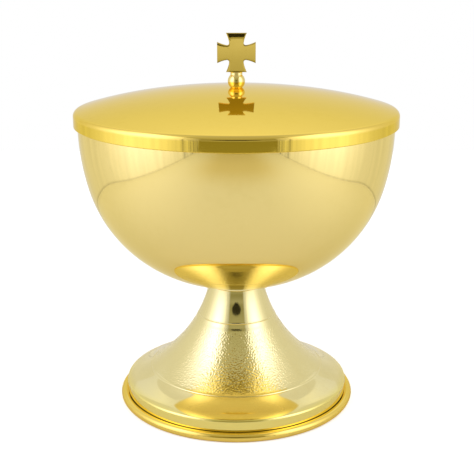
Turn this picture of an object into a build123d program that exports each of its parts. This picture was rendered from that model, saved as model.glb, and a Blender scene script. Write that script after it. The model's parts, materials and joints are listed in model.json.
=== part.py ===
"""Covered cup for altar breads: a deep spun bowl on a flared foot, with a lift-off lid topped by a cross.

Every piece is turned about the upright axis except the cross, the hexagon nut and two slots.
Lengths are millimetres and angles degrees. The origin is on the table, under the middle of the foot.
"""
import os
from math import asin, atan2, cos, degrees, radians, sin, sqrt

from build123d import *

# Base ring: a solid ring, rounded outside, with a ledge inside its top that carries the foot
base_radius = 64.1
ring_height = 4.66
ring_width = 3.65
ring_flat_depth = 0.14
lip_gap = 0.45
ledge_height = 2.6
ledge_overhang = 0.7

# Foot: one spun shell, with an upright lip, a domed apron, a hollow toe, a long flare and a cove at the neck
foot_wall = 1.2
edge_height = 10.3
edge_round = 1.5
apron_round = 20.5
apron_turn = 13.6
toe_round = 37.4
toe_turn = 12.2
neck_radius = 15.15
neck_height = 63.5
neck_lean = 9.25
cove_radius = 40.2
cove_turn = 9.85
scribe_depth = 0.25
upper_scribe_drop = 16.3
lower_scribe_rise = 7.05

# Collar between the foot and the bowl
collar_height = 2.9
collar_proud = 0.15
collar_chamfer = 0.35

# Bowl: two tangent arcs from a flat seat up to a short straight band at the rim
bowl_radius = 81.95
bowl_wall = 1.0
bowl_lower_round = 72.5
bowl_upper_round = 124.5
bowl_upper_turn = 15.0
rim_band = 5.9
rim_chamfer = 0.3

# Stud under the bowl, and what it clamps inside the neck of the foot
stud_radius = 4.0
stud_end = 3.0
flange_radius = 12.0
flange_clearance = 0.7
flange_gap = 0.15
plug_thickness = 3.6
plug_gap = 0.1
stud_gap = 0.2
thread_gap = 0.05
washer_radius = 9.0
washer_thickness = 1.6
spring_radius = 7.2
spring_thickness = 2.0
spring_slot = 1.2
nut_across_flats = 13.0
nut_height = 6.5
nut_chamfer = 0.9

# Lid: a shallow dome of two tangent arcs, a rounded shoulder and a plain skirt outside the rim
lid_wall = 1.2
lid_fit = 0.85
lid_seat_gap = 0.15
skirt_depth = 6.4
skirt_chamfer = 0.35
dome_round = 350.0
dome_edge_round = 220.0
dome_edge_start = 55.0
shoulder_round = 2.5

# Finial: a ball with a short neck, a cross on a peg, and a screw from inside the lid
ball_radius = 4.45
ball_flat_radius = 3.0
ball_neck_radius = 3.1
ball_neck_height = 0.25
cross_span = 19.7
cross_end_width = 10.6
cross_waist = 6.9
cross_thickness = 2.2
cross_side_dip = 0.3
cross_notch_round = 1.1
cross_chamfer = 0.2
peg_radius = 1.0
peg_length = 2.2
peg_gap = 0.05
screw_radius = 1.5
screw_grip = 4.0
screw_hole_gap = 0.2
screw_end_gap = 0.4
screw_head_radius = 3.1
screw_head_height = 2.0
screw_head_round = 1.0
screw_slot_width = 0.8
screw_slot_depth = 0.9
lid_washer_radius = 5.0
lid_washer_thickness = 0.8


def arc_about(centre, start, end):
    """Short arc from start to end about a centre."""
    middle = Vector(*centre)
    first = Vector(*start) - middle
    last = Vector(*end) - middle
    return ThreePointArc(start, middle + (first + last).normalized() * first.length, end)


def spin(outline):
    """Turn a closed outline, drawn as radius across and height up, about the upright axis."""
    return revolve(Plane.XZ * make_face(outline), Axis.Z)


def spin_sheet(outer, wall, corner=None, corner_round=0.0):
    """Turn an open outline with a wall on its left side, rounding one named corner of the outside."""
    face = make_face(offset(Wire(outer), wall, kind=Kind.INTERSECTION, side=Side.LEFT, closed=True))
    if corner:
        face = fillet(face.vertices().sort_by_distance(corner)[0], corner_round).face()
    return revolve(Plane.XZ * face, Axis.Z)


def disc(radius, low, high, bore=0.0):
    """Round plate or ring between two heights."""
    body = Pos(0, 0, (low + high) / 2) * Cylinder(radius, high - low)
    if bore > 0:
        body -= Pos(0, 0, (low + high) / 2) * Cylinder(bore, high - low)
    return body


def square_off(point, distance, lean):
    """Point at a distance from another, square to a surface that leans by an angle from the upright."""
    return (point[0] + distance * cos(lean), point[1] + distance * sin(lean))


# Heights and radii that follow from the sizes above
ring_round = (ring_height + ring_flat_depth) / 2
lip_radius = base_radius - ring_width
edge = (lip_radius, edge_height)
collar_radius = neck_radius + collar_proud
seat_height = neck_height + collar_height

# The foot's curve from the neck down: one flare arc joins cove and toe without a kink
cove_centre = square_off((neck_radius, neck_height), cove_radius, radians(neck_lean))
cove_lean = radians(neck_lean + cove_turn)
cove_end = square_off(cove_centre, -cove_radius, cove_lean)


def curve_below(flare_lean):
    """Centre and end of the apron, then centre and top of the toe, for a lean where flare and toe meet."""
    apron_lean = flare_lean + radians(toe_turn)
    apron_centre = square_off(edge, -apron_round, apron_lean - radians(apron_turn))
    apron_end = square_off(apron_centre, apron_round, apron_lean)
    toe_centre = square_off(apron_end, toe_round, apron_lean)
    return apron_centre, apron_end, toe_centre, square_off(toe_centre, -toe_round, flare_lean)


def find_flare_lean():
    """Lean of the flare where it meets the toe: the chord of an arc leans midway between its two ends."""
    lean = radians(45)
    for _ in range(200):
        toe_top = curve_below(lean)[3]
        lean = 2 * atan2(toe_top[0] - cove_end[0], cove_end[1] - toe_top[1]) - cove_lean
    return lean


flare_lean = find_flare_lean()
apron_centre, apron_end, toe_centre, toe_top = curve_below(flare_lean)
flare_radius = (toe_top[0] - cove_end[0]) / (cos(cove_lean) - cos(flare_lean))
flare_centre = square_off(cove_end, flare_radius, cove_lean)


def make_base_ring():
    """Ring with a rounded outside, a flat underside and the foot's ledge cut in its inner top."""
    round_centre = (base_radius - ring_round, ring_height - ring_round)
    flat_half = sqrt(ring_round**2 - round_centre[1] ** 2)
    wall_radius = lip_radius + lip_gap
    wall_top = round_centre[1] + sqrt(ring_round**2 - (round_centre[0] - wall_radius) ** 2)
    inner_radius = lip_radius - foot_wall - ledge_overhang
    flat_end = (round_centre[0] + flat_half, 0)
    widest = (base_radius, round_centre[1])
    return spin(
        [
            Line((inner_radius, 0), flat_end),
            arc_about(round_centre, flat_end, widest),
            arc_about(round_centre, widest, (wall_radius, wall_top)),
            Line((wall_radius, wall_top), (wall_radius, ledge_height)),
            Line((wall_radius, ledge_height), (inner_radius, ledge_height)),
            Line((inner_radius, ledge_height), (inner_radius, 0)),
        ]
    )


def scribed_line(radius, height):
    """Square ring, set cornerwise, that cuts a fine V-shaped line."""
    corners = [
        (radius - scribe_depth, height),
        (radius, height - scribe_depth),
        (radius + scribe_depth, height),
        (radius, height + scribe_depth),
    ]
    return spin(Polyline(*corners, close=True))


def make_foot():
    """Spun foot: lip, edge, apron, toe, flare and cove, trimmed flat at the neck, with two scribed lines."""
    trim_lean = asin((cove_centre[1] - neck_height - foot_wall) / cove_radius)
    outer = [
        Line((lip_radius, ledge_height), edge),
        arc_about(apron_centre, edge, apron_end),
        arc_about(toe_centre, apron_end, toe_top),
        arc_about(flare_centre, toe_top, cove_end),
        arc_about(cove_centre, cove_end, square_off(cove_centre, -cove_radius, trim_lean)),
    ]
    foot = spin_sheet(outer, foot_wall, edge, edge_round)
    foot -= disc(collar_radius, neck_height, seat_height)
    for height in (neck_height - upper_scribe_drop, edge_height + lower_scribe_rise):
        line_lean = asin((flare_centre[1] - height) / flare_radius)
        foot -= scribed_line(*square_off(flare_centre, -flare_radius, line_lean))
    return foot


def make_collar():
    """Ring that hides the stud's flange and spaces the bowl from the foot."""
    collar = disc(collar_radius, neck_height, seat_height, flange_radius + flange_gap)
    lower_edge = collar.edges().group_by(Axis.Z)[0].sort_by(SortBy.LENGTH)[-1]
    return chamfer(lower_edge, collar_chamfer)


# Bowl outline: the lower arc's centre stands off the axis so that the rim comes to its stated radius
bowl_turn = radians(bowl_upper_turn)
lower_centre_radius = bowl_radius - bowl_lower_round * cos(bowl_turn) - bowl_upper_round * (1 - cos(bowl_turn))
lower_centre_height = seat_height + sqrt(bowl_lower_round**2 - (collar_radius - lower_centre_radius) ** 2)
band_height = lower_centre_height + (bowl_upper_round - bowl_lower_round) * sin(bowl_turn)
rim_height = band_height + rim_band


def make_bowl():
    """Bowl with a flat seat for the collar and a straight band at the rim."""
    seat_end = (collar_radius, seat_height)
    lower_centre = (lower_centre_radius, lower_centre_height)
    join = (
        lower_centre_radius + bowl_lower_round * cos(bowl_turn),
        lower_centre_height - bowl_lower_round * sin(bowl_turn),
    )
    band_start = (bowl_radius, band_height)
    outer = [
        Line((0, seat_height), seat_end),
        arc_about(lower_centre, seat_end, join),
        arc_about((bowl_radius - bowl_upper_round, band_height), join, band_start),
        Line(band_start, (bowl_radius, rim_height)),
    ]
    bowl = spin_sheet(outer, bowl_wall)
    return chamfer(bowl.edges().group_by(Axis.Z)[-1], rim_chamfer)


# The stack inside the neck, from the plug down to the stud's end
plug_low = neck_height - plug_thickness
washer_low = plug_low - washer_thickness
spring_low = washer_low - spring_thickness
nut_low = spring_low - nut_height
stud_hole = stud_radius + stud_gap


def make_stud():
    """Stud with a round flange that is brazed under the bowl."""
    flange_low = neck_height + flange_clearance
    stud = disc(flange_radius, flange_low, seat_height)
    return stud + disc(stud_radius, nut_low - stud_end, flange_low)


def plug_radius(height):
    """Radius inside the neck's wall at a height, less the plug's gap."""
    return cove_centre[0] - sqrt((cove_radius + foot_wall) ** 2 - (cove_centre[1] - height) ** 2) - plug_gap


def make_plug():
    """Tapered plate soldered inside the neck, where the pull of the nut draws it tighter."""
    corners = [
        (stud_hole, plug_low),
        (plug_radius(plug_low), plug_low),
        (plug_radius(neck_height), neck_height),
        (stud_hole, neck_height),
    ]
    return spin(Polyline(*corners, close=True))


def make_washer():
    """Plain washer under the plug."""
    return disc(washer_radius, washer_low, plug_low, stud_hole)


def make_spring_washer():
    """Split spring washer."""
    ring = disc(spring_radius, spring_low, washer_low, stud_hole)
    slot = Box(spring_radius, spring_slot, spring_thickness)
    return ring - Pos(spring_radius / 2, 0, (spring_low + washer_low) / 2) * slot


def make_nut():
    """Hexagon nut with its corners turned off at both ends."""
    middle = (nut_low + spring_low) / 2
    hexagon = extrude(RegularPolygon(nut_across_flats / 2, 6, major_radius=False), nut_height / 2, both=True)
    turned = Cylinder(nut_across_flats / sqrt(3), nut_height)
    turned = chamfer(turned.edges().filter_by(GeomType.CIRCLE), nut_chamfer / 2, nut_chamfer)
    return Pos(0, 0, middle) * (hexagon & turned - Cylinder(stud_radius + thread_gap, nut_height))


# Dome of the lid: its underside comes down on the rim of the bowl, less the seat gap
lid_radius = bowl_radius + lid_fit + lid_wall
edge_centre_radius = dome_edge_start * (1 - dome_edge_round / dome_round)
edge_centre_drop = dome_round - sqrt(1 - (dome_edge_start / dome_round) ** 2) * (dome_round - dome_edge_round)
rim_drop = edge_centre_drop - sqrt((dome_edge_round - lid_wall) ** 2 - (bowl_radius - edge_centre_radius) ** 2)
apex_height = rim_height + lid_seat_gap + rim_drop
skirt_low = rim_height - skirt_depth


def make_lid():
    """Domed lid with a rounded shoulder, a skirt and a hole for the finial's screw."""
    dome_centre = (0, apex_height - dome_round)
    edge_centre = (edge_centre_radius, apex_height - edge_centre_drop)
    edge_start = (dome_edge_start, dome_centre[1] + sqrt(dome_round**2 - dome_edge_start**2))
    shoulder_radius = lid_radius - shoulder_round
    reach = dome_edge_round - shoulder_round
    shoulder_rise = sqrt(reach**2 - (shoulder_radius - edge_centre_radius) ** 2)
    shoulder = (shoulder_radius, edge_centre[1] + shoulder_rise)
    shoulder_start = (
        edge_centre_radius + (shoulder_radius - edge_centre_radius) * dome_edge_round / reach,
        edge_centre[1] + shoulder_rise * dome_edge_round / reach,
    )
    skirt_top = (lid_radius, shoulder[1])
    outer = [
        Line((lid_radius, skirt_low), skirt_top),
        arc_about(shoulder, skirt_top, shoulder_start),
        arc_about(edge_centre, shoulder_start, edge_start),
        arc_about(dome_centre, edge_start, (0, apex_height)),
    ]
    lid = spin_sheet(outer, lid_wall)
    lid = chamfer(lid.edges().group_by(Axis.Z)[0], skirt_chamfer)
    return lid - Pos(0, 0, apex_height) * Cylinder(screw_radius + screw_hole_gap, lid_wall * 4)


# Finial heights
ball_centre_height = apex_height + sqrt(ball_radius**2 - ball_flat_radius**2)
neck_join_height = ball_centre_height + sqrt(ball_radius**2 - ball_neck_radius**2)
cross_low = ball_centre_height + ball_radius + ball_neck_height
lid_washer_top = apex_height - dome_round + sqrt((dome_round - lid_wall) ** 2 - lid_washer_radius**2)
lid_washer_low = lid_washer_top - lid_washer_thickness


def make_ball():
    """Ball with a flat under it, a neck above it, a tapped hole below and a peg hole on top."""
    centre = (0, ball_centre_height)
    flat_end = (ball_flat_radius, apex_height)
    widest = (ball_radius, ball_centre_height)
    neck_start = (ball_neck_radius, neck_join_height)
    ball = spin(
        [
            Line((0, apex_height), flat_end),
            arc_about(centre, flat_end, widest),
            arc_about(centre, widest, neck_start),
            Line(neck_start, (ball_neck_radius, cross_low)),
            Line((ball_neck_radius, cross_low), (0, cross_low)),
            Line((0, cross_low), (0, apex_height)),
        ]
    )
    ball -= disc(screw_radius + thread_gap, apex_height, apex_height + screw_grip + screw_end_gap)
    return ball - disc(peg_radius + peg_gap, cross_low - peg_length - peg_gap, cross_low)


def make_cross():
    """Cross with four flared arms and rounded notches, cut from plate, with a peg for the ball's neck."""
    half = cross_span / 2
    end = cross_end_width / 2
    notch = cross_waist / 2
    sides = []
    for quarter in range(4):
        turn = Rot(0, 0, 90 * quarter)
        sides.append(turn * Line((end, half), (-end, half)))
        sides.append(turn * SagittaArc((-end, half), (-notch, notch), cross_side_dip))
        sides.append(turn * SagittaArc((-notch, notch), (-half, end), cross_side_dip))
    outline = make_face(sides)
    notches = outline.vertices().sort_by_distance((0, 0))[:4]
    outline = fillet(notches, cross_notch_round)
    plate = extrude(Plane.XZ * outline, cross_thickness / 2, both=True)
    flats = plate.faces().filter_by(Axis.Y)
    plate = chamfer(flats.edges(), cross_chamfer)
    plate = Pos(0, 0, cross_low + half) * plate
    return plate + disc(peg_radius, cross_low - peg_length, cross_low + cross_chamfer * 2)


def make_lid_washer():
    """Washer under the dome, spreading the screw's pull."""
    return disc(lid_washer_radius, lid_washer_low, lid_washer_top, screw_radius + screw_hole_gap)


def make_finial_screw():
    """Slotted screw from inside the lid up into the ball."""
    head_low = lid_washer_low - screw_head_height
    head = disc(screw_head_radius, head_low, lid_washer_low)
    head = fillet(head.edges().group_by(Axis.Z)[0], screw_head_round)
    head -= Pos(0, 0, head_low) * Box(screw_head_radius * 3, screw_slot_width, screw_slot_depth * 2)
    return head + disc(screw_radius, lid_washer_low, apex_height + screw_grip)


pieces = {
    "base_ring": make_base_ring(),
    "foot_shell": make_foot(),
    "stem_collar": make_collar(),
    "bowl": make_bowl(),
    "bowl_stud": make_stud(),
    "neck_plug": make_plug(),
    "clamp_washer": make_washer(),
    "spring_washer": make_spring_washer(),
    "clamp_nut": make_nut(),
    "lid_shell": make_lid(),
    "finial_ball": make_ball(),
    "cross_finial": make_cross(),
    "lid_washer": make_lid_washer(),
    "finial_screw": make_finial_screw(),
}

os.makedirs("parts", exist_ok=True)
for name, piece in pieces.items():
    export_step(piece, f"parts/{name}.step")

print(f"toe ends at a lean of {degrees(flare_lean) + toe_turn:.2f} degrees, flare radius {flare_radius:.2f} mm")
print(f"rim {rim_height:.2f} mm, lid edge {skirt_low:.2f} mm, apex {apex_height:.2f} mm")
print(f"overall height {cross_low + cross_span:.2f} mm, across the lid {2 * lid_radius:.2f} mm")
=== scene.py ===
# %% [markdown]
# # A covered cup for altar breads, in polished gold
# The real cup is spun from sheet brass, polished and gold plated. It has a deep bowl on a flared foot, a shallow
# lift-off lid with a ball and a small cross, and a pebbled band round the foot.
# The construction model is loaded first. Its sizes are law: each piece made below takes the place of one of its
# nodes, in the same spot and at the same size, with the smooth surface and the finish that a mirror polish needs.

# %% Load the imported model
import json
import math

import bmesh
import bpy
import numpy as np
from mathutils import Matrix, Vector, noise


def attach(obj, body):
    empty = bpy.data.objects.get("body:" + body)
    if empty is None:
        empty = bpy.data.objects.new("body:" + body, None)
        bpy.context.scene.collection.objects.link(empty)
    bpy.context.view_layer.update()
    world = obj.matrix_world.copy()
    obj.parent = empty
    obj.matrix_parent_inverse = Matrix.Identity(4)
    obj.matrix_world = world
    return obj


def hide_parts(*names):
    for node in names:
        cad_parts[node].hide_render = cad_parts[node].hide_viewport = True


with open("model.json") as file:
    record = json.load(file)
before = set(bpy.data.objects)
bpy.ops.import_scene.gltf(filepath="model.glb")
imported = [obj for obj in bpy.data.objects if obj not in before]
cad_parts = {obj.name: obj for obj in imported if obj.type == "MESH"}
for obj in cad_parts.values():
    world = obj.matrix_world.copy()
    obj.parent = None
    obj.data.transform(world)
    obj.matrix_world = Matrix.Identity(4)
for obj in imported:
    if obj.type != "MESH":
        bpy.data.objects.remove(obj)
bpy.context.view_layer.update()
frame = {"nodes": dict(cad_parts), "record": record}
MM = 0.001

# %% [markdown]
# ## Outlines
# Nearly every piece is turned on a lathe, so one half outline, given as radius and height, says all about it.
# An outline could be drawn by hand as a curve. Here it is written as straight runs and arcs in millimetres, because
# a polished surface shows every small error of its outline in what it reflects.

# %% Straight runs, arcs and eased corners
def straight(start, end, guard=0.03):
    """Straight run with a guard point near each end, which keeps the shading flat between them."""
    start, end = np.array(start, float), np.array(end, float)
    return [tuple(start + (end - start) * t) for t in (0, guard, 0.5, 1 - guard, 1)]


def arc(centre, radius, first, last, steps):
    """Arc about a centre. Angles are in degrees, from straight out (0) to straight up (90)."""
    angles = np.radians(np.linspace(first, last, steps + 1))
    return [(centre[0] + radius * math.cos(a), centre[1] + radius * math.sin(a)) for a in angles]


def eased(before, corner, after, radius, steps=6):
    """Points that ease one corner of an outline to a radius."""
    corner = np.array(corner, float)
    back = (np.array(before) - corner) / math.dist(before, corner)
    ahead = (np.array(after) - corner) / math.dist(after, corner)
    half = math.acos(float(np.clip(back @ ahead, -1, 1))) / 2
    middle = corner + (back + ahead) / np.linalg.norm(back + ahead) * radius / math.sin(half)
    first = corner + back * radius / math.tan(half) - middle
    last = corner + ahead * radius / math.tan(half) - middle
    spread = [first * (1 - t) + last * t for t in np.linspace(0, 1, steps + 1)]
    return [tuple(middle + s / np.linalg.norm(s) * radius) for s in spread]


print("an eased corner of 1 mm starts at", [round(v, 2) for v in eased((0, 5), (0, 0), (5, 0), 1.0)[0]])

# %% [markdown]
# ## The lathe
# Blender can turn an outline with the Screw modifier or with the Spin tool. Here the points are worked out directly:
# every outline point is repeated round the axis, and neighbours are joined by four-sided faces. That is quick even
# for a fine mesh, and its points can still be pushed about, as the pebbled band needs.
# Outlines run up the outside and down the inside, so that all the faces look outward. Edges that bend by more than
# 25 degrees are marked sharp, and all the others are shaded smooth.

# %% Turn an outline into a mesh piece
def turned(name, outline, segments=288, closed=True):
    """Turn an outline of (radius, height) points in millimetres about the upright axis."""
    count = len(outline)
    angles = np.arange(segments) * 2 * math.pi / segments
    points = [(r * math.cos(a) * MM, r * math.sin(a) * MM, z * MM) for a in angles for r, z in outline]
    faces = []
    for turn in range(segments):
        here, there = turn * count, (turn + 1) % segments * count
        for row in range(count if closed else count - 1):
            after = (row + 1) % count
            faces.append((here + row, there + row, there + after, here + after))
    return finished(name, points, faces)


def finished(name, points, faces, sharp=25):
    """Make an object of points and faces, with points on the axis merged, smooth shading and sharp corners."""
    mesh = bpy.data.meshes.new(name)
    mesh.from_pydata(points, [], faces)
    bm = bmesh.new()
    bm.from_mesh(mesh)
    bmesh.ops.remove_doubles(bm, verts=[v for v in bm.verts if v.co.xy.length < 1e-7], dist=1e-7)
    bm.to_mesh(mesh)
    bm.free()
    mesh.shade_smooth()
    mesh.set_sharp_from_angle(angle=math.radians(sharp))
    piece = bpy.data.objects.new(name, mesh)
    bpy.context.scene.collection.objects.link(piece)
    print(name, "has", len(mesh.vertices), "points and", len(mesh.polygons), "faces")
    return piece


# %% [markdown]
# ## Base ring
# The cup stands on a solid ring with a rounded outside. The foot's lip sits on a ledge inside it, and the narrow gap
# between lip and ring is the dark line that runs round the base. A torus would lack the flat underside and the
# ledge, so the ring is turned from its true section.

# %% Turn the base ring
ring_centre, ring_round, ring_wall = (61.7, 2.26), 2.4, 60.9
ring_inside, ledge, flat_past = 58.55, 2.6, 0.8077
flat_end = math.degrees(math.atan2(-ring_centre[1], flat_past))
wall_start = math.degrees(math.acos((ring_wall - ring_centre[0]) / ring_round))
ring_outline = [(ring_inside, ledge), (ring_inside, 0.0)] + arc(ring_centre, ring_round, flat_end, wall_start, 40)
ring_outline += [(ring_wall, ledge)]
base_ring = turned("base_ring_turned", ring_outline)

# %% [markdown]
# ## Foot
# The foot is one spun shell: an upright lip, a rolled edge, a gently domed apron, a hollow toe, a long flare and a cove
# that runs up into the neck. Two fine lines are scribed round it, and the skin between them is pebbled with a punch or
# an engraved roller. Polishing has rounded the lips of the lines, so they are drawn as small waves in the outline. The
# band between them gets many rows of points, because the pebbles are real shape and not only shading.

# %% Turn the foot
wall = 1.2
lip_radius, lip_low = 60.45, ledge
roll_centre, roll_round = (58.95, 9.4815), 1.5
apron_centre, apron_round = (49.0079, -6.7097), 20.5
toe_centre, toe_round = (69.122, 47.5843), 37.4
flare_centre, flare_radius = (91.4903, 82.6576), 78.999
cove_centre, cove_radius = (54.8273, 69.9619), 40.2
roll_end, apron_end, flare_end, cove_end, neck_end = 58.448, 69.672, 57.472, 19.1, 9.25
roll_end_inside, neck_end_inside = 57.949, 8.98
scribe_depth, scribe_half = 0.13, 0.35
low_line, high_line, band_top = 17.35, 47.2, 45.2


def flare_angle(height):
    """Angle on the flare's arc at a height."""
    return 180 + math.degrees(math.asin((flare_centre[1] - height) / flare_radius))


def scribed(height):
    """Points across a line scribed in the flare, and the angles where it starts and ends."""
    middle, half = flare_angle(height), math.degrees(scribe_half / flare_radius)
    wave = [(t, flare_radius + scribe_depth * (0.5 + 0.5 * math.cos(math.pi * t))) for t in np.linspace(1, -1, 13)]
    return [arc(flare_centre, r, middle + t * half, 0, 0)[0] for t, r in wave], middle + half, middle - half


low_scribe, low_start, low_end = scribed(low_line)
high_scribe, high_start, high_end = scribed(high_line)
outside = straight((lip_radius, lip_low), (lip_radius, roll_centre[1]))[:-1]
outside += arc(roll_centre, roll_round, 0, roll_end, 14)
outside += arc(apron_centre, apron_round, roll_end, apron_end, 16)[1:]
outside += arc(toe_centre, toe_round, 180 + apron_end, 180 + flare_end, 14)[1:]
outside += arc(flare_centre, flare_radius, 180 + flare_end, low_start, 4)[1:-1] + low_scribe
outside += arc(flare_centre, flare_radius, low_end, flare_angle(band_top), 150)[1:]
outside += arc(flare_centre, flare_radius, flare_angle(band_top), high_start, 14)[1:-1] + high_scribe
outside += arc(flare_centre, flare_radius, high_end, 180 + cove_end, 12)[1:]
outside += arc(cove_centre, cove_radius, 180 + cove_end, 180 + neck_end, 18)[1:]
inside = arc(cove_centre, cove_radius + wall, 180 + neck_end_inside, 180 + cove_end, 8)
inside += arc(flare_centre, flare_radius + wall, 180 + cove_end, 180 + flare_end, 16)[1:]
inside += arc(toe_centre, toe_round + wall, 180 + flare_end, 180 + apron_end, 6)[1:]
inside += arc(apron_centre, apron_round - wall, apron_end, roll_end_inside, 6)[1:] + [(lip_radius - wall, lip_low)]
foot = turned("foot_spun", outside + inside, segments=800)

# %% [markdown]
# ## Pebbled band
# Seen close, the band is covered in small domed pebbles, about a millimetre across, that run into each other, and it
# lies slightly below the plain metal above it, beyond a short even slope. A Displace modifier with a texture would
# do, but working on the points gives exact control over where the band starts and ends. Each point of the band moves
# along the surface's normal: Voronoi cells give the pebbles, and a little Perlin noise makes them uneven. Blender's
# noise functions give the same pattern on every run.

# %% Raise the pebbles
pebble_size, pebble_height, band_sink, sink_run, low_run = 1.15, 0.135, 0.17, 1.4, 0.7
crease_slope, cell_share, uneven_size, uneven_share, uneven_lift = 1.6, 0.6, 0.6, 0.35, 0.6
band_low = low_line + 0.45


def pebble(point):
    """Height of the pebbled skin, from 0 in the creases to about 1, at a point in millimetres."""
    near, second = noise.voronoi(Vector(point) / pebble_size)[0][:2]
    uneven = noise.noise(Vector(point) / (pebble_size * uneven_size))
    return min(1.0, (second - near) * crease_slope) * cell_share + (uneven + uneven_lift) * uneven_share


points = np.zeros(len(foot.data.vertices) * 3)
foot.data.vertices.foreach_get("co", points)
points = points.reshape(-1, 3) / MM
radius = np.hypot(points[:, 0], points[:, 1])
towards = np.stack([flare_centre[0] - radius, flare_centre[1] - points[:, 2]], axis=1)
reach = np.linalg.norm(towards, axis=1)
in_band = (abs(reach - flare_radius) < 0.01) & (points[:, 2] > band_low) & (points[:, 2] < band_top)
skin = np.array([pebble(p) for p in points[in_band]])
below_top = band_top - points[in_band, 2]
above_low = np.clip((points[in_band, 2] - band_low) / low_run, 0, 1)
sunk = band_sink * np.clip(below_top / sink_run, 0, 1) * np.sqrt(above_low)
raised = np.minimum(np.clip(below_top - sink_run, 0, 1), above_low)
rise = (skin * pebble_height * raised - sunk) / reach[in_band]
outward = points[in_band, :2] / radius[in_band, None] * towards[in_band, :1]
points[in_band] += np.column_stack([outward, towards[in_band, 1]]) * rise[:, None]
foot.data.vertices.foreach_set("co", (points * MM).ravel())
foot.data.update()
print("pebbled points", len(skin), "with a mean height of", round(float(skin.mean()), 2))

# %% [markdown]
# ## Collar and bowl
# A thin collar hides the joint between foot and bowl. The bowl is two arcs that run into each other without a kink
# and end in a short straight band at the rim. It is one sheet, so its outline goes up the outside, over the rim and
# down the inside, and starts and ends on the axis.

# %% Turn the collar and the bowl
collar_radius, collar_hole, collar_low, collar_ease, seat = 15.3, 12.15, 63.5, 0.35, 66.4
collar_outline = [(collar_hole, collar_low), (collar_radius - collar_ease, collar_low)]
collar_outline += [(collar_radius, collar_low + collar_ease), (collar_radius, seat), (collar_hole, seat)]
collar = turned("stem_collar_turned", collar_outline)
bowl_low, low_round = (7.6781, 138.4982), 72.5
bowl_high, high_round, arcs_meet = (-42.55, 151.9568), 124.5, -15
bowl_wall, floor_height, floor_radius, seat_guard = 1.0, 67.4, 14.8, 0.4
rim, rim_band, rim_outside, rim_inside, rim_ease = 157.8568, 154.5, 81.95, 80.95, 0.3
seat_angle = math.degrees(math.atan2(seat - bowl_low[1], collar_radius - bowl_low[0]))
floor_angle = -math.degrees(math.asin((bowl_low[1] - floor_height) / (low_round - bowl_wall)))
bowl_outline = [(0, seat), (collar_radius - seat_guard, seat)] + arc(bowl_low, low_round, seat_angle, arcs_meet, 64)
bowl_outline += arc(bowl_high, high_round, arcs_meet, 0, 18)[1:]
bowl_outline += [(rim_outside, rim_band), (rim_outside, rim - rim_ease), (rim_outside - rim_ease, rim)]
bowl_outline += [(rim_inside + rim_ease, rim), (rim_inside, rim - rim_ease), (rim_inside, rim_band)]
bowl_outline += arc(bowl_high, high_round - bowl_wall, 0, arcs_meet, 18)
bowl_outline += arc(bowl_low, low_round - bowl_wall, arcs_meet, floor_angle, 64)[1:]
bowl_outline += [(floor_radius, floor_height), (0, floor_height)]
bowl = turned("bowl_spun", bowl_outline, segments=320, closed=False)

# %% [markdown]
# ## Lid
# The lid is a very shallow dome that mirrors the finial standing on it, so its curve has to be right: one large arc in
# the middle, a tighter one towards the edge, a small round at the shoulder and a plain skirt that hangs over the
# bowl's rim.

# %% Turn the lid
apex, lid_wall, hole = 169.6492, 1.2, 1.7
dome_round, dome_reach = 350, 55
dome_centre = (0, apex - dome_round)
edge_centre, edge_round = (20.4286, apex - 221.6151), 220
shoulder, shoulder_round = (81.5, 156.784), 2.5
skirt_low, skirt_radius, skirt_ease, skirt_guards = 151.4568, 84.0, 0.35, (152.0, 156.4)
dome_turn, edge_turn = math.degrees(math.acos(dome_reach / dome_round)), 73.6928
hole_turn = 90 - math.degrees(hole / dome_round)
skirt_inside = skirt_radius - lid_wall
lid_outline = [(skirt_radius - skirt_ease, skirt_low), (skirt_radius, skirt_low + skirt_ease)]
lid_outline += [(skirt_radius, height) for height in skirt_guards]
lid_outline += arc(shoulder, shoulder_round, 0, edge_turn, 14)
lid_outline += arc(edge_centre, edge_round, edge_turn, dome_turn, 24)[1:]
lid_outline += arc(dome_centre, dome_round, dome_turn, hole_turn, 32)[1:]
lid_outline += arc(dome_centre, dome_round - lid_wall, hole_turn, dome_turn, 24)
lid_outline += arc(edge_centre, edge_round - lid_wall, dome_turn, edge_turn, 18)[1:]
lid_outline += arc(shoulder, shoulder_round - lid_wall, edge_turn, 0, 8)[1:]
lid_outline += [(skirt_inside, skirt_low + skirt_ease), (skirt_inside + skirt_ease, skirt_low)]
lid = turned("lid_spun", lid_outline, segments=320)

# %% [markdown]
# ## Ball of the finial
# A small turned ball stands on the lid, with a flat under it and a short neck above it. A screw comes up into it from
# inside the lid, and the cross has a peg that goes down into the neck, so the ball has two blind holes on its axis.

# %% Turn the ball
ball_centre, ball_round, ball_flat = (0, 172.9359), 4.45, 3.0
neck_radius, neck_low, neck_ease, cross_low = 3.1, 176.3, 0.25, 177.6359
screw_hole, screw_depth, peg_hole, peg_depth = 1.55, 4.4, 1.05, 2.25
ball_low = -math.degrees(math.acos(ball_flat / ball_round))
ball_high = math.degrees(math.acos(neck_radius / ball_round))
ball_outline = [(0, apex + screw_depth), (screw_hole, apex + screw_depth), (screw_hole, apex)]
ball_outline += arc(ball_centre, ball_round, ball_low, ball_high, 40)
ball_outline += straight((neck_radius, neck_low), (neck_radius, cross_low - neck_ease))
ball_outline += [(neck_radius - neck_ease, cross_low), (peg_hole, cross_low)]
ball_outline += [(peg_hole, cross_low - peg_depth), (0, cross_low - peg_depth)]
ball = turned("finial_ball_turned", ball_outline, segments=128, closed=False)

# %% [markdown]
# ## Cross
# The cross is sawn from plate, filed and then buffed, and buffing always rounds the edges of a flat face a little and
# takes a bit more off the tips. Flat faces with sharp edges would look like cut paper. A Bevel modifier rounds edges
# evenly. Here the face is laid out as shrinking copies of its outline, and each point sinks by its distance from the
# edge. The wheel has pressed most on the edges that face up, and it has bent the upper tip back a little.

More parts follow.
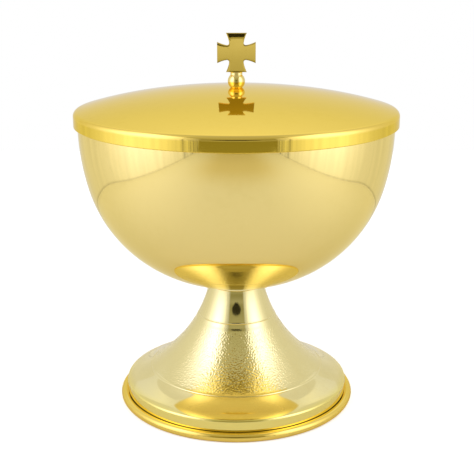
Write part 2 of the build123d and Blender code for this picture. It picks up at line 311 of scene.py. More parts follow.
# %% Draw the cross
half_span, half_end, notch, side_dip, notch_round = 9.85, 5.3, 3.45, 0.3, 1.1
half_plate, side_share = 1.1, 0.62
cross_middle = cross_low + half_span


def arm_side(t):
    """Point along the hollow side of the upper arm, from its end (0) to the notch (1)."""
    bow = 4 * t * (1 - t) * side_dip
    return (-half_end + (half_end - notch) * t + bow, half_span + (notch - half_span) * t)


def quarter_turns(point, turns):
    """Turn a point about the cross's middle by quarter turns."""
    for _ in range(turns):
        point = (-point[1], point[0])
    return point


cross_outline = []
for quarter in range(4):
    down = [arm_side(t) for t in np.linspace(0, side_share, 12)]
    corner = eased(down[-1], (-notch, notch), (-down[-1][1], -down[-1][0]), notch_round, 8)
    up = [(-z, -x) for x, z in reversed(down)]
    tip = [(-half_span, z) for z in np.linspace(half_end, -half_end, 14)[1:-1]]
    cross_outline += [quarter_turns(p, quarter) for p in down + corner + up + tip]
cross_outline = np.array(cross_outline)
print("the cross has", len(cross_outline), "outline points")

# %% Saw it out and buff it
shrink = np.array([0.12, 0.3, 0.45, 0.58, 0.68, 0.76, 0.82, 0.87, 0.91, 0.94, 0.962, 0.978, 0.99, 1.0])
buff_reach, buff_drop = 0.9, 0.27
least_press, press_middle, press_slope, worn_from, worn_rise = 0.06, 0.45, 0.08, 2.6, 0.4
tip_start, tip_lean, tip_ease, tip_round, tip_drop = 7.15, 0.085, 1.2, 0.45, 0.07


def from_edge(places):
    """Distance of each place on the face from the outline, and how squarely the outline faces up there."""
    start, run = cross_outline, np.roll(cross_outline, -1, axis=0) - cross_outline
    gap = places[:, None, :] - start[None]
    along = np.clip((gap * run).sum(-1) / (run * run).sum(-1), 0, 1)
    distance = np.linalg.norm(gap - along[..., None] * run, axis=-1)
    upward = -run[:, 0] / np.linalg.norm(run, axis=-1)
    return distance.min(axis=1), upward[distance.argmin(axis=1)]


face = np.concatenate([[(0.0, 0.0)], (cross_outline[None] * shrink[:, None, None]).reshape(-1, 2)])
inward, upward = from_edge(face)
across = np.clip(press_middle - press_slope * face[:, 0], 0, 1)
pressed = least_press + (1 - least_press) * np.clip(upward, 0, 1) * across
worn_left = worn_rise * np.clip(-face[:, 0] - worn_from, 0, None)
past_tip = np.clip(face[:, 1] + worn_left - tip_start, 0, None) * (abs(face[:, 0]) < half_end + 0.01)
along_edges = buff_drop * pressed * np.clip(1 - inward / buff_reach, 0, 1) ** 3
at_tip = tip_drop * np.clip(1 - inward / tip_round, 0, 1) ** 3
buffed = np.where(past_tip > 0, at_tip, along_edges)
bent = tip_lean * np.where(past_tip < tip_ease, past_tip ** 2 / (2 * tip_ease), past_tip - tip_ease / 2)
print("buffing takes off up to", round(float(buffed.max()), 2), "mm and the tip bends by", round(float(bent.max()), 2))

# %% Join front, back and sides, and add the peg
front = np.column_stack([face[:, 0], buffed + bent - half_plate, face[:, 1] + cross_middle])
back = np.column_stack([face[:, 0], half_plate - buffed, face[:, 1] + cross_middle])
count, around, total = len(cross_outline), len(shrink), len(face)
rims = [1 + (around - 1) * count, total + 1 + (around - 1) * count]
points, faces = [*front, *back], []
for i in range(count):
    j = (i + 1) % count
    faces += [(0, 1 + i, 1 + j), (total, total + 1 + j, total + 1 + i)]
    for k in range(1, 1 + (around - 1) * count, count):
        faces += [(k + i, k + count + i, k + count + j, k + j)]
        faces += [(total + k + j, total + k + count + j, total + k + count + i, total + k + i)]
    faces += [(rims[0] + i, rims[1] + i, rims[1] + j, rims[0] + j)]
peg_radius, peg_length, peg_ease, peg_sunk, peg_sides = 1.0, 2.2, 0.2, 0.4, 32
peg_heights = [(0.0, -peg_length), (peg_radius - peg_ease, -peg_length), (peg_radius, peg_ease - peg_length),
               (peg_radius, peg_sunk)]
first = len(points)
for r, z in peg_heights:
    turns = np.arange(peg_sides) * 2 * math.pi / peg_sides
    points += [(r * math.cos(a), r * math.sin(a), cross_low + z) for a in turns]
for row in range(len(peg_heights) - 1):
    for i in range(peg_sides):
        here, there = first + row * peg_sides + i, first + row * peg_sides + (i + 1) % peg_sides
        faces.append((here, there, there + peg_sides, here + peg_sides))
cross = finished("cross_buffed", [tuple(np.array(p) * MM) for p in points], faces, sharp=40)

# %% [markdown]
# ## Threaded stud
# Under the bowl a stud with a flange is brazed on. Its thread shows below the nut when the cup is turned over. A
# thread is a turned rod whose radius rises and falls once per pitch, with the wave shifted along by one pitch per
# turn, so the rod is turned first and its points are then moved in or out.

# %% Turn the stud and cut its thread
stud_radius, thread_pitch, thread_depth = 4.0, 1.25, 0.6
stud_low, tip_inset, tip_rise, thread_top = 46.8, 0.7, 0.5, 59.6
flange_low, flange_radius = 64.2, 12.0
stud_outline = [(0, stud_low), (stud_radius - tip_inset, stud_low)]
stud_outline += [(stud_radius, z) for z in np.arange(stud_low + tip_rise, thread_top, thread_pitch / 8)]
stud_outline += [(stud_radius, flange_low), (flange_radius, flange_low), (flange_radius, seat), (0, seat)]
stud = turned("bowl_stud_threaded", stud_outline, segments=96, closed=False)
for v in stud.data.vertices:
    radius, height = math.hypot(v.co.x, v.co.y) / MM, v.co.z / MM
    if abs(radius - stud_radius) < 0.01 and height < thread_top - 0.1:
        phase = (height / thread_pitch - math.atan2(v.co.y, v.co.x) / (2 * math.pi)) % 1.0
        cut = thread_depth * (1 - abs(2 * phase - 1)) * min(1.0, (thread_top - height) / thread_pitch)
        v.co.x *= (stud_radius - cut) / stud_radius
        v.co.y *= (stud_radius - cut) / stud_radius
print("thread turns", round((thread_top - stud_low) / thread_pitch, 1))

# %% [markdown]
# ## Node groups for the finishes
# Several finishes share the same marks: fine rings left by the buffing wheel while the piece turned, and faint
# smudges from handling. Each effect is built once as a shader node group with named sockets, and every material
# places the group with its own values. A group only puts out masks and heights. The shader itself stays in the
# material, where the export can read it.

# %% A helper that adds a node and wires its inputs
def add(tree, kind, settings=None, **inputs):
    """Add a node. An input takes a value, or a socket to link from. Numbered inputs are written n0, n1 and so on."""
    node = tree.nodes.new(kind)
    for name, value in (settings or {}).items():
        setattr(node, name, value)
    for name, value in inputs.items():
        socket = node.inputs[int(name[1:])] if name[1:].isdigit() else node.inputs[name.replace("_", " ")]
        if isinstance(value, bpy.types.NodeSocket):
            tree.links.new(value, socket)
        else:
            socket.default_value = value
    return node


def math_node(tree, operation, first, second=0.0):
    """Add a Math node and return its result."""
    return add(tree, "ShaderNodeMath", {"operation": operation}, n0=first, n1=second).outputs[0]


def new_group(name, inputs, outputs):
    """Start a shader node group with number inputs and number outputs."""
    group = bpy.data.node_groups.new(name, "ShaderNodeTree")
    for label, value in inputs.items():
        group.interface.new_socket(label, in_out="INPUT", socket_type="NodeSocketFloat").default_value = value
    for label in outputs:
        group.interface.new_socket(label, in_out="OUTPUT", socket_type="NodeSocketFloat")
    return group, add(group, "NodeGroupInput"), add(group, "NodeGroupOutput")


# %% [markdown]
# ### Buffing rings
# A spun piece is polished while it turns, so its finest scratches run round the axis. Distance from the axis and
# height are fed to a noise texture as if they were a flat picture: points on one circle then share one value, which
# gives rings on the lid's top as well as on the foot's side. A second, slow noise breaks the rings up.

# %% Group: buffing rings
rings_group, rings_in, rings_out = new_group("buffing_rings", {"Rings per mm": 3.0, "Breaks per m": 60.0}, ["Rings"])
place = add(rings_group, "ShaderNodeTexCoord").outputs["Object"]
parts = add(rings_group, "ShaderNodeSeparateXYZ", Vector=place)
flat = add(rings_group, "ShaderNodeCombineXYZ", X=parts.outputs["X"], Y=parts.outputs["Y"])
from_axis = add(rings_group, "ShaderNodeVectorMath", {"operation": "LENGTH"}, n0=flat.outputs[0]).outputs["Value"]
section = add(rings_group, "ShaderNodeCombineXYZ", X=from_axis, Y=parts.outputs["Z"])
per_metre = math_node(rings_group, "MULTIPLY", rings_in.outputs["Rings per mm"], 1000.0)
fine = add(rings_group, "ShaderNodeTexNoise", {"noise_dimensions": "2D"}, Vector=section.outputs[0], Scale=per_metre,
           Detail=2.0)
slow = add(rings_group, "ShaderNodeTexNoise", Vector=place, Scale=rings_in.outputs["Breaks per m"], Detail=2.0)
broken = math_node(rings_group, "MULTIPLY", fine.outputs[0], slow.outputs[0])
rings_group.links.new(math_node(rings_group, "MULTIPLY", broken, 2.0), rings_out.inputs["Rings"])
print("group", rings_group.name, "with", len(rings_group.nodes), "nodes")

# %% [markdown]
# ### Handling smudges
# Polished gold dulls a little where it has been held or wiped. Two sizes of noise are multiplied, and a Map Range
# node keeps only the upper part, so there are clear areas and soft patches between them.

# %% Group: handling smudges
smudge_group, smudge_in, smudge_out = new_group("handling_smudges", {"Patches per m": 25.0, "Cover": 0.5}, ["Smudge"])
place = add(smudge_group, "ShaderNodeTexCoord").outputs["Object"]
large = add(smudge_group, "ShaderNodeTexNoise", Vector=place, Scale=smudge_in.outputs["Patches per m"], Detail=3.0)
times_finer, highest_start, full_smudge = 9.0, 0.4, 0.45
small_scale = math_node(smudge_group, "MULTIPLY", smudge_in.outputs["Patches per m"], times_finer)
small = add(smudge_group, "ShaderNodeTexNoise", Vector=place, Scale=small_scale, Detail=4.0, Roughness=0.65)
both = math_node(smudge_group, "MULTIPLY", large.outputs[0], small.outputs[0])
clear = math_node(smudge_group, "SUBTRACT", 1.0, smudge_in.outputs["Cover"])
start = math_node(smudge_group, "MULTIPLY", clear, highest_start)
soft = add(smudge_group, "ShaderNodeMapRange", {"interpolation_type": "SMOOTHSTEP"}, Value=both, From_Min=start,
           From_Max=full_smudge)
smudge_group.links.new(soft.outputs[0], smudge_out.inputs["Smudge"])
print("group", smudge_group.name, "with", len(smudge_group.nodes), "nodes")

# %% [markdown]
# ## Gold plate
# Gold plate is a metal, so its colour sits in Base Color with Metallic at 1. The cup's pieces don't match exactly:
# the lid, the cross and the ring are a fuller yellow, the bowl and the ball a little paler and the foot paler still, as
# plating differs from bath to bath. Two close tones are mixed by the smudges, the rings and smudges vary the roughness,
# and the rings also give a very faint bump. Specular Tint colours the reflection at a glancing angle.

# %% Build the gold finishes
ring_share, mark_share, ring_depth = 0.4, 0.6, 0.00002


def metal_finish(name, tone, worn_tone, edge_tint, polish, smudge, ring_bump, rings_per_mm=3.0, cover=0.5):
    """Metal with buffing rings and smudges. polish is the lowest roughness, smudge how much the marks add."""
    material = bpy.data.materials.new(name)
    material.use_nodes = True
    tree = material.node_tree
    shader = tree.nodes["Principled BSDF"]
    rings = add(tree, "ShaderNodeGroup", {"node_tree": rings_group}, Rings_per_mm=rings_per_mm).outputs["Rings"]
    marks = add(tree, "ShaderNodeGroup", {"node_tree": smudge_group}, Cover=cover).outputs["Smudge"]
    colour = add(tree, "ShaderNodeMix", {"data_type": "RGBA"}, n0=marks, n6=(*tone, 1), n7=(*worn_tone, 1))
    tree.links.new(colour.outputs[2], shader.inputs["Base Color"])
    mottle = math_node(tree, "ADD", math_node(tree, "MULTIPLY", rings, ring_share),
                       math_node(tree, "MULTIPLY", marks, mark_share))
    rough = add(tree, "ShaderNodeMapRange", Value=mottle, To_Min=polish, To_Max=polish + smudge)
    tree.links.new(rough.outputs[0], shader.inputs["Roughness"])
    bump = add(tree, "ShaderNodeBump", Height=rings, Strength=ring_bump, Distance=ring_depth)
    tree.links.new(bump.outputs[0], shader.inputs["Normal"])
    shader.inputs["Metallic"].default_value = 1.0
    shader.inputs["Specular Tint"].default_value = (*edge_tint, 1)
    print("finish", name, "with", len(tree.nodes), "nodes")
    return material


yellow_gold = metal_finish("yellow_gold", (0.95, 0.70, 0.15), (0.93, 0.68, 0.14), (1.0, 0.90, 0.56), 0.04, 0.03, 0.05)
lid_gold = metal_finish("lid_gold", (0.95, 0.70, 0.15), (0.93, 0.68, 0.14), (1.0, 0.90, 0.50), 0.04, 0.03, 0.05)
bowl_gold = metal_finish("bowl_gold", (0.93, 0.74, 0.26), (0.91, 0.72, 0.245), (1.0, 0.95, 0.7), 0.045, 0.03, 0.05)
foot_gold = metal_finish("foot_gold", (0.90, 0.78, 0.36), (0.89, 0.76, 0.34), (1.0, 0.98, 0.90), 0.07, 0.04, 0.08)

# %% [markdown]
# ### Fine grain on the pebbled band
# Between the pebbles the punched skin is slightly matt. The foot's material gets one more noise bump there, kept to
# the band by the height of the point, and a little more roughness. Only this one material needs it, so it is wired
# straight into the material.

# %% Add the grain to the foot's gold
grain_per_m, grain_strength, grain_depth, grain_matt, fade = 1700.0, 0.35, 0.00006, 0.05, 0.6
tree = foot_gold.node_tree
shader = tree.nodes["Principled BSDF"]
place = add(tree, "ShaderNodeTexCoord").outputs["Object"]
height = add(tree, "ShaderNodeSeparateXYZ", Vector=place).outputs["Z"]
over_low = add(tree, "ShaderNodeMapRange", Value=height, From_Min=band_low * MM, From_Max=(band_low + fade) * MM)
under_high = add(tree, "ShaderNodeMapRange", Value=height, From_Min=band_top * MM, From_Max=(band_top - fade) * MM)
over_band = math_node(tree, "MULTIPLY", over_low.outputs[0], under_high.outputs[0])
grain = add(tree, "ShaderNodeTexNoise", Vector=place, Scale=grain_per_m, Detail=2.0)
grain_height = math_node(tree, "MULTIPLY", grain.outputs[0], over_band)
grain_bump = add(tree, "ShaderNodeBump", Height=grain_height, Strength=grain_strength, Distance=grain_depth)
tree.links.new(shader.inputs["Normal"].links[0].from_socket, grain_bump.inputs["Normal"])
tree.links.new(grain_bump.outputs[0], shader.inputs["Normal"])
matt = math_node(tree, "MULTIPLY", over_band, grain_matt)
rougher = math_node(tree, "ADD", shader.inputs["Roughness"].links[0].from_socket, matt)
tree.links.new(rougher, shader.inputs["Roughness"])
print("grain runs from", band_low, "to", band_top, "mm up the foot")

# %% [markdown]
# ### Warmer tone on the edges
# The lip and the rolled edge of the foot are a warmer, fuller yellow than the rest. This is painted warm light: it
# stands in for the golden light that the lip mirrors from the table right next to the cup. The lid's skirt turns a
# fuller, darker yellow towards its lower edge. A third node group turns the height of a point into a mask, and the
# mask mixes the two tones in each material.

# %% Tint the foot's edge and the lid's skirt
edge_group, edge_in, edge_out = new_group("warm_edge_band", {"Starts at": 0.0128, "Full at": 0.0098}, ["Mask"])
place = add(edge_group, "ShaderNodeTexCoord").outputs["Object"]
height = add(edge_group, "ShaderNodeSeparateXYZ", Vector=place).outputs["Z"]
near_edge = add(edge_group, "ShaderNodeMapRange", {"interpolation_type": "SMOOTHSTEP"}, Value=height,
                From_Min=edge_in.outputs["Starts at"], From_Max=edge_in.outputs["Full at"])
edge_group.links.new(near_edge.outputs[0], edge_out.inputs["Mask"])


def warm_edge(material, starts_at, full_at, tone):
    """Mix a fuller tone into a gold finish, between two heights in metres."""
    tree = material.node_tree
    shader = tree.nodes["Principled BSDF"]
    mask = add(tree, "ShaderNodeGroup", {"node_tree": edge_group}, Starts_at=starts_at, Full_at=full_at)
    plated = shader.inputs["Base Color"].links[0].from_socket
    fuller = add(tree, "ShaderNodeMix", {"data_type": "RGBA"}, n0=mask.outputs[0], n6=plated, n7=(*tone, 1.0))
    tree.links.new(fuller.outputs[2], shader.inputs["Base Color"])
    print(material.name, "now has", len(tree.nodes), "nodes")


# Painted warm light on the foot's lip and rolled edge; on the lid a fuller, darker yellow low on the skirt.
warm_edge(foot_gold, 0.0128, 0.0098, (0.94, 0.79, 0.225))
warm_edge(lid_gold, 0.1572, 0.1562, (0.87, 0.635, 0.10))

# %% [markdown]
# ## Brass and steel inside
# The fasteners are seen only with the lid off or the cup turned over. The plug, the stud, the lid's washer and its
# screw are turned brass, duller and redder than the plate. The nut and the washers under it are zinc-plated steel.
# Both use the same two groups, with coarser rings for a lathe's tool marks.

# %% Build the brass and steel finishes
turned_brass = metal_finish("turned_brass", (0.72, 0.50, 0.20), (0.55, 0.36, 0.13), (1.0, 0.95, 0.8), 0.20, 0.22, 0.5,
                            rings_per_mm=1.6, cover=0.7)
zinc_steel = metal_finish("zinc_steel", (0.60, 0.60, 0.59), (0.48, 0.47, 0.44), (1.0, 1.0, 1.0), 0.26, 0.25, 0.4,
                          rings_per_mm=1.2, cover=0.75)

# %% [markdown]
# ## Put the pieces on their bodies
# Each new piece stands for one node of the construction model, which is then hidden, and rides on that node's body,
# so the lid's pieces rise together when the lid is lifted. The small fasteners keep their construction meshes and
# get a narrow bevel and a finish.

# %% Replace, ride, name the finish
made = [
    (base_ring, "base_ring", yellow_gold), (foot, "foot_shell", foot_gold), (collar, "stem_collar", foot_gold),
    (bowl, "bowl", bowl_gold), (stud, "bowl_stud", turned_brass), (lid, "lid_shell", lid_gold),
    (ball, "finial_ball", bowl_gold), (cross, "cross_finial", yellow_gold),
]
record = frame["record"]
body_of = {node: body for body, nodes in record["behaviour"]["bodies"].items() for node in nodes}
for piece, node, finish in made:
    piece.data.materials.append(finish)
    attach(piece, body_of[node])
    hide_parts(node)
kept = {"neck_plug": turned_brass, "lid_washer": turned_brass, "finial_screw": turned_brass,
        "clamp_washer": zinc_steel, "spring_washer": zinc_steel, "clamp_nut": zinc_steel}
bevel_width, bevel_angle = 0.0001, math.radians(40)
for node, finish in kept.items():
    fastener = frame["nodes"][node]
    fastener.data.materials.clear()
    fastener.data.materials.append(finish)
    bevel = fastener.modifiers.new("broken_edges", "BEVEL")
    bevel.width, bevel.segments, bevel.limit_method, bevel.angle_limit = bevel_width, 2, "ANGLE", bevel_angle
print(len(made), "new pieces and", len(kept), "construction meshes")

# %% [markdown]
# ## A light tent
# Polished gold shows what stands round it, so the light is built like the tent that such a cup is photographed in: a
# white table, a bright white cloth on each side with a soft hot spot, the foot of that cloth swinging in behind the
# cup, and an open front where the camera stands. The cloths are glowing cards that the camera doesn't see.
# The table is white paper. To the camera it also glows, so that it comes out white and still shows the cup's soft
# shadow. In the metal the glow is weaker and lies at the sides and behind the cup, where light comes up through the
# paper. The end of the table next to the dark room carries painted warm light: there the paper's colour turns warm
# for every ray but the camera's.

# %% A card for the stage
def card(name, corners, material):
    """Flat sheet through its corners, in metres, as part of the stage."""
    mesh = bpy.data.meshes.new(name)
    mesh.from_pydata(corners, [], [tuple(range(len(corners)))])
    mesh.materials.append(material)
    sheet = bpy.data.objects.new(name, mesh)
    bpy.context.scene.collection.objects.link(sheet)
    return sheet


tent_side, tent_front, tent_back = 0.36, -0.78, 0.70
print("table", 2 * tent_side, "by", tent_back - tent_front, "m")

# %% White paper, with painted warm light near the room
paper_dark, paper_light, room_light_tone = (0.885, 0.875, 0.83, 1.0), (0.905, 0.895, 0.85, 1.0), (0.83, 0.75, 0.50, 1.0)
camera_glow, mirror_glow, glow_from, glow_full, behind_counts = 0.5, 0.11, 0.10, 0.34, 2.0
room_from, room_full, middle_from, middle_full = -0.28, -0.50, 0.30, 0.10
paper = bpy.data.materials.new("white_paper")
paper.use_nodes = True
tree = paper.node_tree
tree.nodes.remove(tree.nodes["Principled BSDF"])
place = add(tree, "ShaderNodeTexCoord").outputs["Object"]
parts = add(tree, "ShaderNodeSeparateXYZ", Vector=place)
fibre = add(tree, "ShaderNodeTexNoise", Vector=place, Scale=900.0)
tone = add(tree, "ShaderNodeMix", {"data_type": "RGBA"}, n0=fibre.outputs[0], n6=paper_dark, n7=paper_light)
path = add(tree, "ShaderNodeLightPath")
seen = path.outputs["Is Camera Ray"]
mirrored = math_node(tree, "MAXIMUM", path.outputs["Is Glossy Ray"], path.outputs["Is Transmission Ray"])
off_middle = math_node(tree, "ABSOLUTE", parts.outputs["X"])
near_room = add(tree, "ShaderNodeMapRange", {"interpolation_type": "SMOOTHSTEP"}, Value=parts.outputs["Y"],
                From_Min=room_from, From_Max=room_full)
in_middle = add(tree, "ShaderNodeMapRange", {"interpolation_type": "SMOOTHSTEP"}, Value=off_middle,
                From_Min=middle_from, From_Max=middle_full)
# Painted warm light: near the room the paper's colour turns warm, for every ray but the camera's.
room_lit = math_node(tree, "MULTIPLY", near_room.outputs[0], math_node(tree, "SUBTRACT", 1.0, seen))
room_lit = math_node(tree, "MULTIPLY", room_lit, in_middle.outputs[0])
sheet_tone = add(tree, "ShaderNodeMix", {"data_type": "RGBA"}, n0=room_lit, n6=tone.outputs[2], n7=room_light_tone)
matt_white = add(tree, "ShaderNodeBsdfDiffuse", Color=sheet_tone.outputs[2])
print("paper so far with", len(tree.nodes), "nodes")

# %% Let the paper glow and lay it down
behind = math_node(tree, "MULTIPLY", math_node(tree, "MAXIMUM", parts.outputs["Y"], 0.0), behind_counts)
apart = add(tree, "ShaderNodeCombineXYZ", X=off_middle, Y=behind)
from_cup = add(tree, "ShaderNodeVectorMath", {"operation": "LENGTH"}, n0=apart.outputs[0]).outputs["Value"]
beside = add(tree, "ShaderNodeMapRange", Value=from_cup, From_Min=glow_from, From_Max=glow_full, To_Max=mirror_glow)
in_metal = math_node(tree, "MULTIPLY", beside.outputs[0], mirrored)
to_camera = math_node(tree, "MULTIPLY", seen, camera_glow)
glow = add(tree, "ShaderNodeEmission", Strength=math_node(tree, "ADD", in_metal, to_camera))
both = add(tree, "ShaderNodeAddShader", n0=matt_white.outputs[0], n1=glow.outputs[0])
tree.links.new(both.outputs[0], tree.nodes["Material Output"].inputs["Surface"])
card("table", [(-tent_side, tent_front, 0), (tent_side, tent_front, 0), (tent_side, tent_back, 0),
               (-tent_side, tent_back, 0)], paper)
print("paper done with", len(tree.nodes), "nodes")

# %% [markdown]
# ### Cloth walls
# The walls are lit from outside, so each has a soft hot spot, cooler than the rest. The left one is the cooler and the
# wider. The cloth hangs in folds, deep low down at its gathered front edge and faint elsewhere, and its hem lies in
# shade where it meets the table. Behind the cup its foot swings inward in a curve. Polished metal shows all of that:
# the folds become upright streaks, and the hem draws the line under the bright patches on the bowl.
# One node group makes the light of both cloths, and each cloth's material gives it the spread and the tone of its spot.

# %% Group: cloth lit from outside
hot_spot, wall_level, spot_level = (-0.18, 0.30), 0.76, 1.25
spread_front, spread_low, spread_high = 0.20, 0.19, 0.40
wall_back, wall_top, sweep_top = 0.30, 0.66, 0.15
dim_end, dim_from, dim_level = -0.82, -0.5, 0.45
folds_along, folds_up = 40.0, 4.0
faint_fold, deep_fold, faint_at, deep_at = 0.25, 2.6, -0.46, -0.56
deep_below, stretched_above, stretched_fold = 0.10, 0.20, 0.15
gather, gather_half, gather_level = -0.545, 0.014, 0.5
hem_low, hem_high, hem_level = 0.0005, 0.006, 0.72
plain_cloth = (1.0, 0.99, 1.0, 1.0)


def off_centre(tree, place, centre, before, after):
    """Squared distance from the hot spot along one axis, with its own spread on either side."""
    gap = math_node(tree, "SUBTRACT", place, centre)
    less = math_node(tree, "DIVIDE", math_node(tree, "MINIMUM", gap, 0.0), before)
    more = math_node(tree, "DIVIDE", math_node(tree, "MAXIMUM", gap, 0.0), after)
    return math_node(tree, "POWER", math_node(tree, "ADD", less, more), 2.0)


cloth_group, cloth_in, cloth_out = new_group("lit_cloth", {"Spread back": 0.14}, ["Spot", "Level"])
parts = add(cloth_group, "ShaderNodeSeparateXYZ", Vector=add(cloth_group, "ShaderNodeTexCoord").outputs["Object"])
along, up = parts.outputs["Y"], parts.outputs["Z"]
off_along = off_centre(cloth_group, along, hot_spot[0], spread_front, cloth_in.outputs["Spread back"])
off_up = off_centre(cloth_group, up, hot_spot[1], spread_low, spread_high)
half_square = math_node(cloth_group, "MULTIPLY", math_node(cloth_group, "ADD", off_along, off_up), -0.5)
spot = math_node(cloth_group, "POWER", math.e, half_square)
even = add(cloth_group, "ShaderNodeMapRange", Value=along, From_Min=dim_end, From_Max=dim_from, To_Min=dim_level,
           To_Max=wall_level)
bright = math_node(cloth_group, "ADD", math_node(cloth_group, "MULTIPLY", spot, spot_level), even.outputs[0])
cloth_group.links.new(spot, cloth_out.inputs["Spot"])
print("side walls glow from", wall_level, "to", wall_level + spot_level)

# %% Folds and hem in the same group
hang = add(cloth_group, "ShaderNodeCombineXYZ", X=math_node(cloth_group, "MULTIPLY", along, folds_along),
           Y=math_node(cloth_group, "MULTIPLY", up, folds_up))
folds = add(cloth_group, "ShaderNodeTexNoise", {"noise_dimensions": "2D"}, Vector=hang.outputs[0], Scale=1.0,
            Detail=3.0)
depth = add(cloth_group, "ShaderNodeMapRange", Value=along, From_Min=faint_at, From_Max=deep_at, To_Min=faint_fold,
            To_Max=deep_fold)
stretched = add(cloth_group, "ShaderNodeMapRange", Value=up, From_Min=deep_below, From_Max=stretched_above, To_Min=1.0,
                To_Max=stretched_fold)
deep = math_node(cloth_group, "MULTIPLY", depth.outputs[0], stretched.outputs[0])
folded = math_node(cloth_group, "MULTIPLY", math_node(cloth_group, "SUBTRACT", folds.outputs[0], 0.5), deep)
from_gather = math_node(cloth_group, "ABSOLUTE", math_node(cloth_group, "SUBTRACT", along, gather))
pinched = add(cloth_group, "ShaderNodeMapRange", {"interpolation_type": "SMOOTHSTEP"}, Value=from_gather,
              From_Max=gather_half, To_Min=gather_level)
hem = add(cloth_group, "ShaderNodeMapRange", {"interpolation_type": "SMOOTHSTEP"}, Value=up, From_Min=hem_low,
          From_Max=hem_high, To_Min=hem_level)
shade = math_node(cloth_group, "MULTIPLY", math_node(cloth_group, "ADD", folded, 1.0), pinched.outputs[0])
shaded = math_node(cloth_group, "MULTIPLY", math_node(cloth_group, "MULTIPLY", bright, shade), hem.outputs[0])
cloth_group.links.new(shaded, cloth_out.inputs["Level"])
print("group", cloth_group.name, "with", len(cloth_group.nodes), "nodes")


# %% Material of one cloth
def glowing_cloth(name, spread_back, coolest):
    """Glowing cloth with its own spread and tone of the hot spot."""
    material = bpy.data.materials.new(name)
    material.use_nodes = True
    tree = material.node_tree
    tree.nodes.remove(tree.nodes["Principled BSDF"])
    lit = add(tree, "ShaderNodeGroup", {"node_tree": cloth_group}, Spread_back=spread_back)
    cool = add(tree, "ShaderNodeMix", {"data_type": "RGBA"}, n0=lit.outputs["Spot"], n6=plain_cloth, n7=(*coolest, 1.0))
    glow = add(tree, "ShaderNodeEmission", Color=cool.outputs[2], Strength=lit.outputs["Level"])
    tree.links.new(glow.outputs[0], tree.nodes["Material Output"].inputs["Surface"])
    print(name, "with", len(tree.nodes), "nodes")
    return material


# %% Hang the walls and the curved foot behind the cup
back_sweep = [(0.36, -0.03), (0.357, 0.02), (0.344, 0.065), (0.32, 0.11), (0.29, 0.152), (0.25, 0.2), (0.2, 0.24),
              (0.13, 0.27), (0.0, 0.285)]
cloths = {"left": (-1, -0.82, glowing_cloth("cloth_left", 0.14, (0.95, 1.0, 1.5))),
          "right": (1, -0.74, glowing_cloth("cloth_right", 0.11, (0.95, 1.0, 1.36)))}
for label, (side, front_edge, cloth) in cloths.items():
    runs = [(wall_top, [(tent_side, front_edge), (tent_side, wall_back)]), (sweep_top, back_sweep)]
    for top, run in runs:
        for number, ((x0, y0), (x1, y1)) in enumerate(zip(run, run[1:])):
            x0, x1 = side * x0, side * x1
            corners = [(x0, y0, 0), (x1, y1, 0), (x1, y1, top), (x0, y0, top)]
            card(f"tent_{label}_{top}_{number}", corners, cloth).visible_camera = False
print("each cloth hangs as one tall card and", len(back_sweep) - 1, "low ones")

# %% [markdown]
# ### Round the tent
# What lies beyond the cards comes from the world: a pale back, a dimmer roof and the dark, warm room behind the camera.
# Direction gives the place: the third part of the direction is the height, and the second tells front from back. The
# camera itself sees plain white there. Rays that have been mirrored three times or more see the pale back all round,
# because the dark room would draw a hard mark where foot and bowl mirror each other.

# %% World
world = bpy.data.worlds.new("studio")
bpy.context.scene.world = world
world.use_nodes = True
tree = world.node_tree
tree.nodes.clear()
toward = add(tree, "ShaderNodeTexCoord").outputs["Generated"]
parts = add(tree, "ShaderNodeSeparateXYZ", Vector=toward)
rise = math_node(tree, "MULTIPLY", math_node(tree, "ARCSINE", parts.outputs["Z"]), 180 / math.pi)
lowest, highest, most_bounces = -30.0, 90.0, 2.5
along = add(tree, "ShaderNodeMapRange", Value=rise, From_Min=lowest, From_Max=highest).outputs[0]


def tones(stops):
    """Colour ramp over the height above the horizon, in degrees. Warmth takes blue away from a level, or adds it."""
    ramp = add(tree, "ShaderNodeValToRGB", Fac=along)
    marks = ramp.color_ramp.elements
    while len(marks) < len(stops):
        marks.new(0.5)
    for mark, (degrees, level, warmth) in zip(marks, stops):
        mark.position = (degrees - lowest) / (highest - lowest)
        mark.color = (level, level * (1 - 0.12 * warmth), level * (1 - warmth), 1)
    return ramp.outputs[0]


back_tone = tones([(-30, 0.72, -0.17), (20, 0.78, -0.17), (36, 0.88, -0.12), (46, 0.98, 0.0), (60, 0.78, 0.0),
                   (75, 0.56, 0.0), (90, 0.50, 0.0)])
front_tone = tones([(-12, 0.34, 0.6), (-9, 0.27, 0.7), (-7.8, 0.29, 0.6), (-7.2, 0.48, 0.25), (-6.1, 0.50, 0.2),
                    (-5.7, 0.53, 0.2), (-5.4, 0.59, 0.15), (-4.9, 0.69, 0.0), (-4.0, 0.69, 0.0), (-3.0, 0.40, 0.4),
                    (0.5, 0.36, 0.4), (4, 0.28, 0.55), (8, 0.31, 0.45), (12.5, 0.39, 0.35), (15.5, 0.39, 0.35),
                    (18, 0.31, 0.45), (21, 0.31, 0.45), (30, 0.40, 0.40), (42, 0.46, 0.35), (60, 0.54, 0.2),
                    (90, 0.50, 0.0)])
just_over_one = 1.0001
upright = math_node(tree, "POWER", parts.outputs["Z"], 2.0)
level_part = math_node(tree, "SQRT", math_node(tree, "SUBTRACT", just_over_one, upright))
ahead = math_node(tree, "DIVIDE", math_node(tree, "MULTIPLY", parts.outputs["Y"], -1.0), level_part)
in_front = add(tree, "ShaderNodeMapRange", {"interpolation_type": "SMOOTHSTEP"}, Value=ahead, From_Min=0.5,
               From_Max=0.8)
path = add(tree, "ShaderNodeLightPath")
few = math_node(tree, "LESS_THAN", path.outputs["Glossy Depth"], most_bounces)
room = math_node(tree, "MULTIPLY", in_front.outputs[0], few)
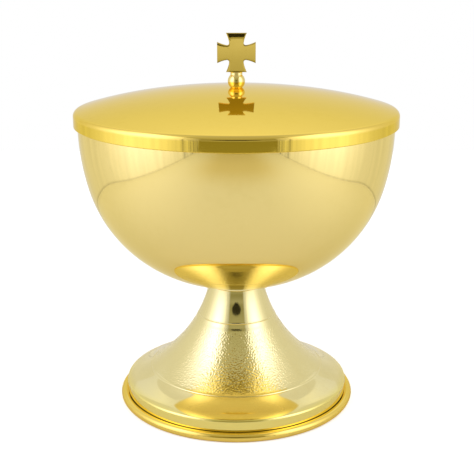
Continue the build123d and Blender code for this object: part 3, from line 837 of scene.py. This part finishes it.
tent = add(tree, "ShaderNodeMix", {"data_type": "RGBA"}, n0=room, n6=back_tone, n7=front_tone)
shown = add(tree, "ShaderNodeMix", {"data_type": "RGBA"}, n0=path.outputs["Is Camera Ray"], n6=tent.outputs[2],
            n7=(1.0, 1.0, 1.0, 1.0))
surround = add(tree, "ShaderNodeBackground", Color=shown.outputs[2])
tree.links.new(surround.outputs[0], add(tree, "ShaderNodeOutputWorld").inputs["Surface"])
print("world nodes", len(tree.nodes))

# %% [markdown]
# ### The camera's own reflection
# The stem mirrors the dark camera on its stand. A dark card just behind the camera gives that small mark. It is hidden
# from the camera, so it never shows in another view, and like the dark room it is left out after three mirrorings.

# %% Dark card
dark = bpy.data.materials.new("dark_stand")
dark.use_nodes = True
tree = dark.node_tree
shader = tree.nodes["Principled BSDF"]
weave = add(tree, "ShaderNodeTexNoise", Vector=add(tree, "ShaderNodeTexCoord").outputs["Object"], Scale=60.0)
tone = add(tree, "ShaderNodeMix", {"data_type": "RGBA"}, n0=weave.outputs[0], n6=(0.020, 0.018, 0.009, 1.0),
           n7=(0.036, 0.032, 0.016, 1.0))
tree.links.new(tone.outputs[2], shader.inputs["Base Color"])
shader.inputs["Roughness"].default_value = 0.9
shader.inputs["Specular IOR Level"].default_value = 0.0
bounces = add(tree, "ShaderNodeLightPath").outputs["Glossy Depth"]
many = math_node(tree, "GREATER_THAN", bounces, most_bounces)
clear = add(tree, "ShaderNodeBsdfTransparent")
shown = add(tree, "ShaderNodeMixShader", n0=many, n1=shader.outputs[0], n2=clear.outputs[0])
tree.links.new(shown.outputs[0], tree.nodes["Material Output"].inputs["Surface"])
stand_depth = -0.54
right_side = [(0.05, 0.20), (0.07, 0.225), (0.14, 0.25), (0.15, 0.27), (0.12, 0.295), (0.04, 0.305)]
round_it = right_side + [(-x, z) for x, z in reversed(right_side)]
stand = card("camera_stand", [(x, stand_depth, z) for x, z in round_it], dark)
stand.visible_camera = False
print("dark card of", len(stand.data.vertices), "corners")

# %% [markdown]
# ## Camera
# The camera's place was worked out from the photograph's ellipses and from the finial's mirror image in the lid. It
# stands half a metre away, a little above the cup, and looks down by sixteen degrees.

# %% Camera
picture_side, focal_pixels, axis_pixel = 474, 975.2, 236.4
camera_place, look_down = (0.0, -0.505, 0.23433), 0.27952
lens = bpy.data.cameras.new("camera")
lens.sensor_width = 36.0
lens.lens = focal_pixels * lens.sensor_width / picture_side
lens.shift_x = (picture_side / 2 - axis_pixel) / picture_side
camera = bpy.data.objects.new("camera", lens)
camera.location = camera_place
camera.rotation_euler = (math.pi / 2 - look_down, 0, 0)
bpy.context.scene.collection.objects.link(camera)
bpy.context.scene.camera = camera
bpy.context.scene.view_settings.view_transform = "Standard"
print("lens", round(lens.lens, 2), "mm")
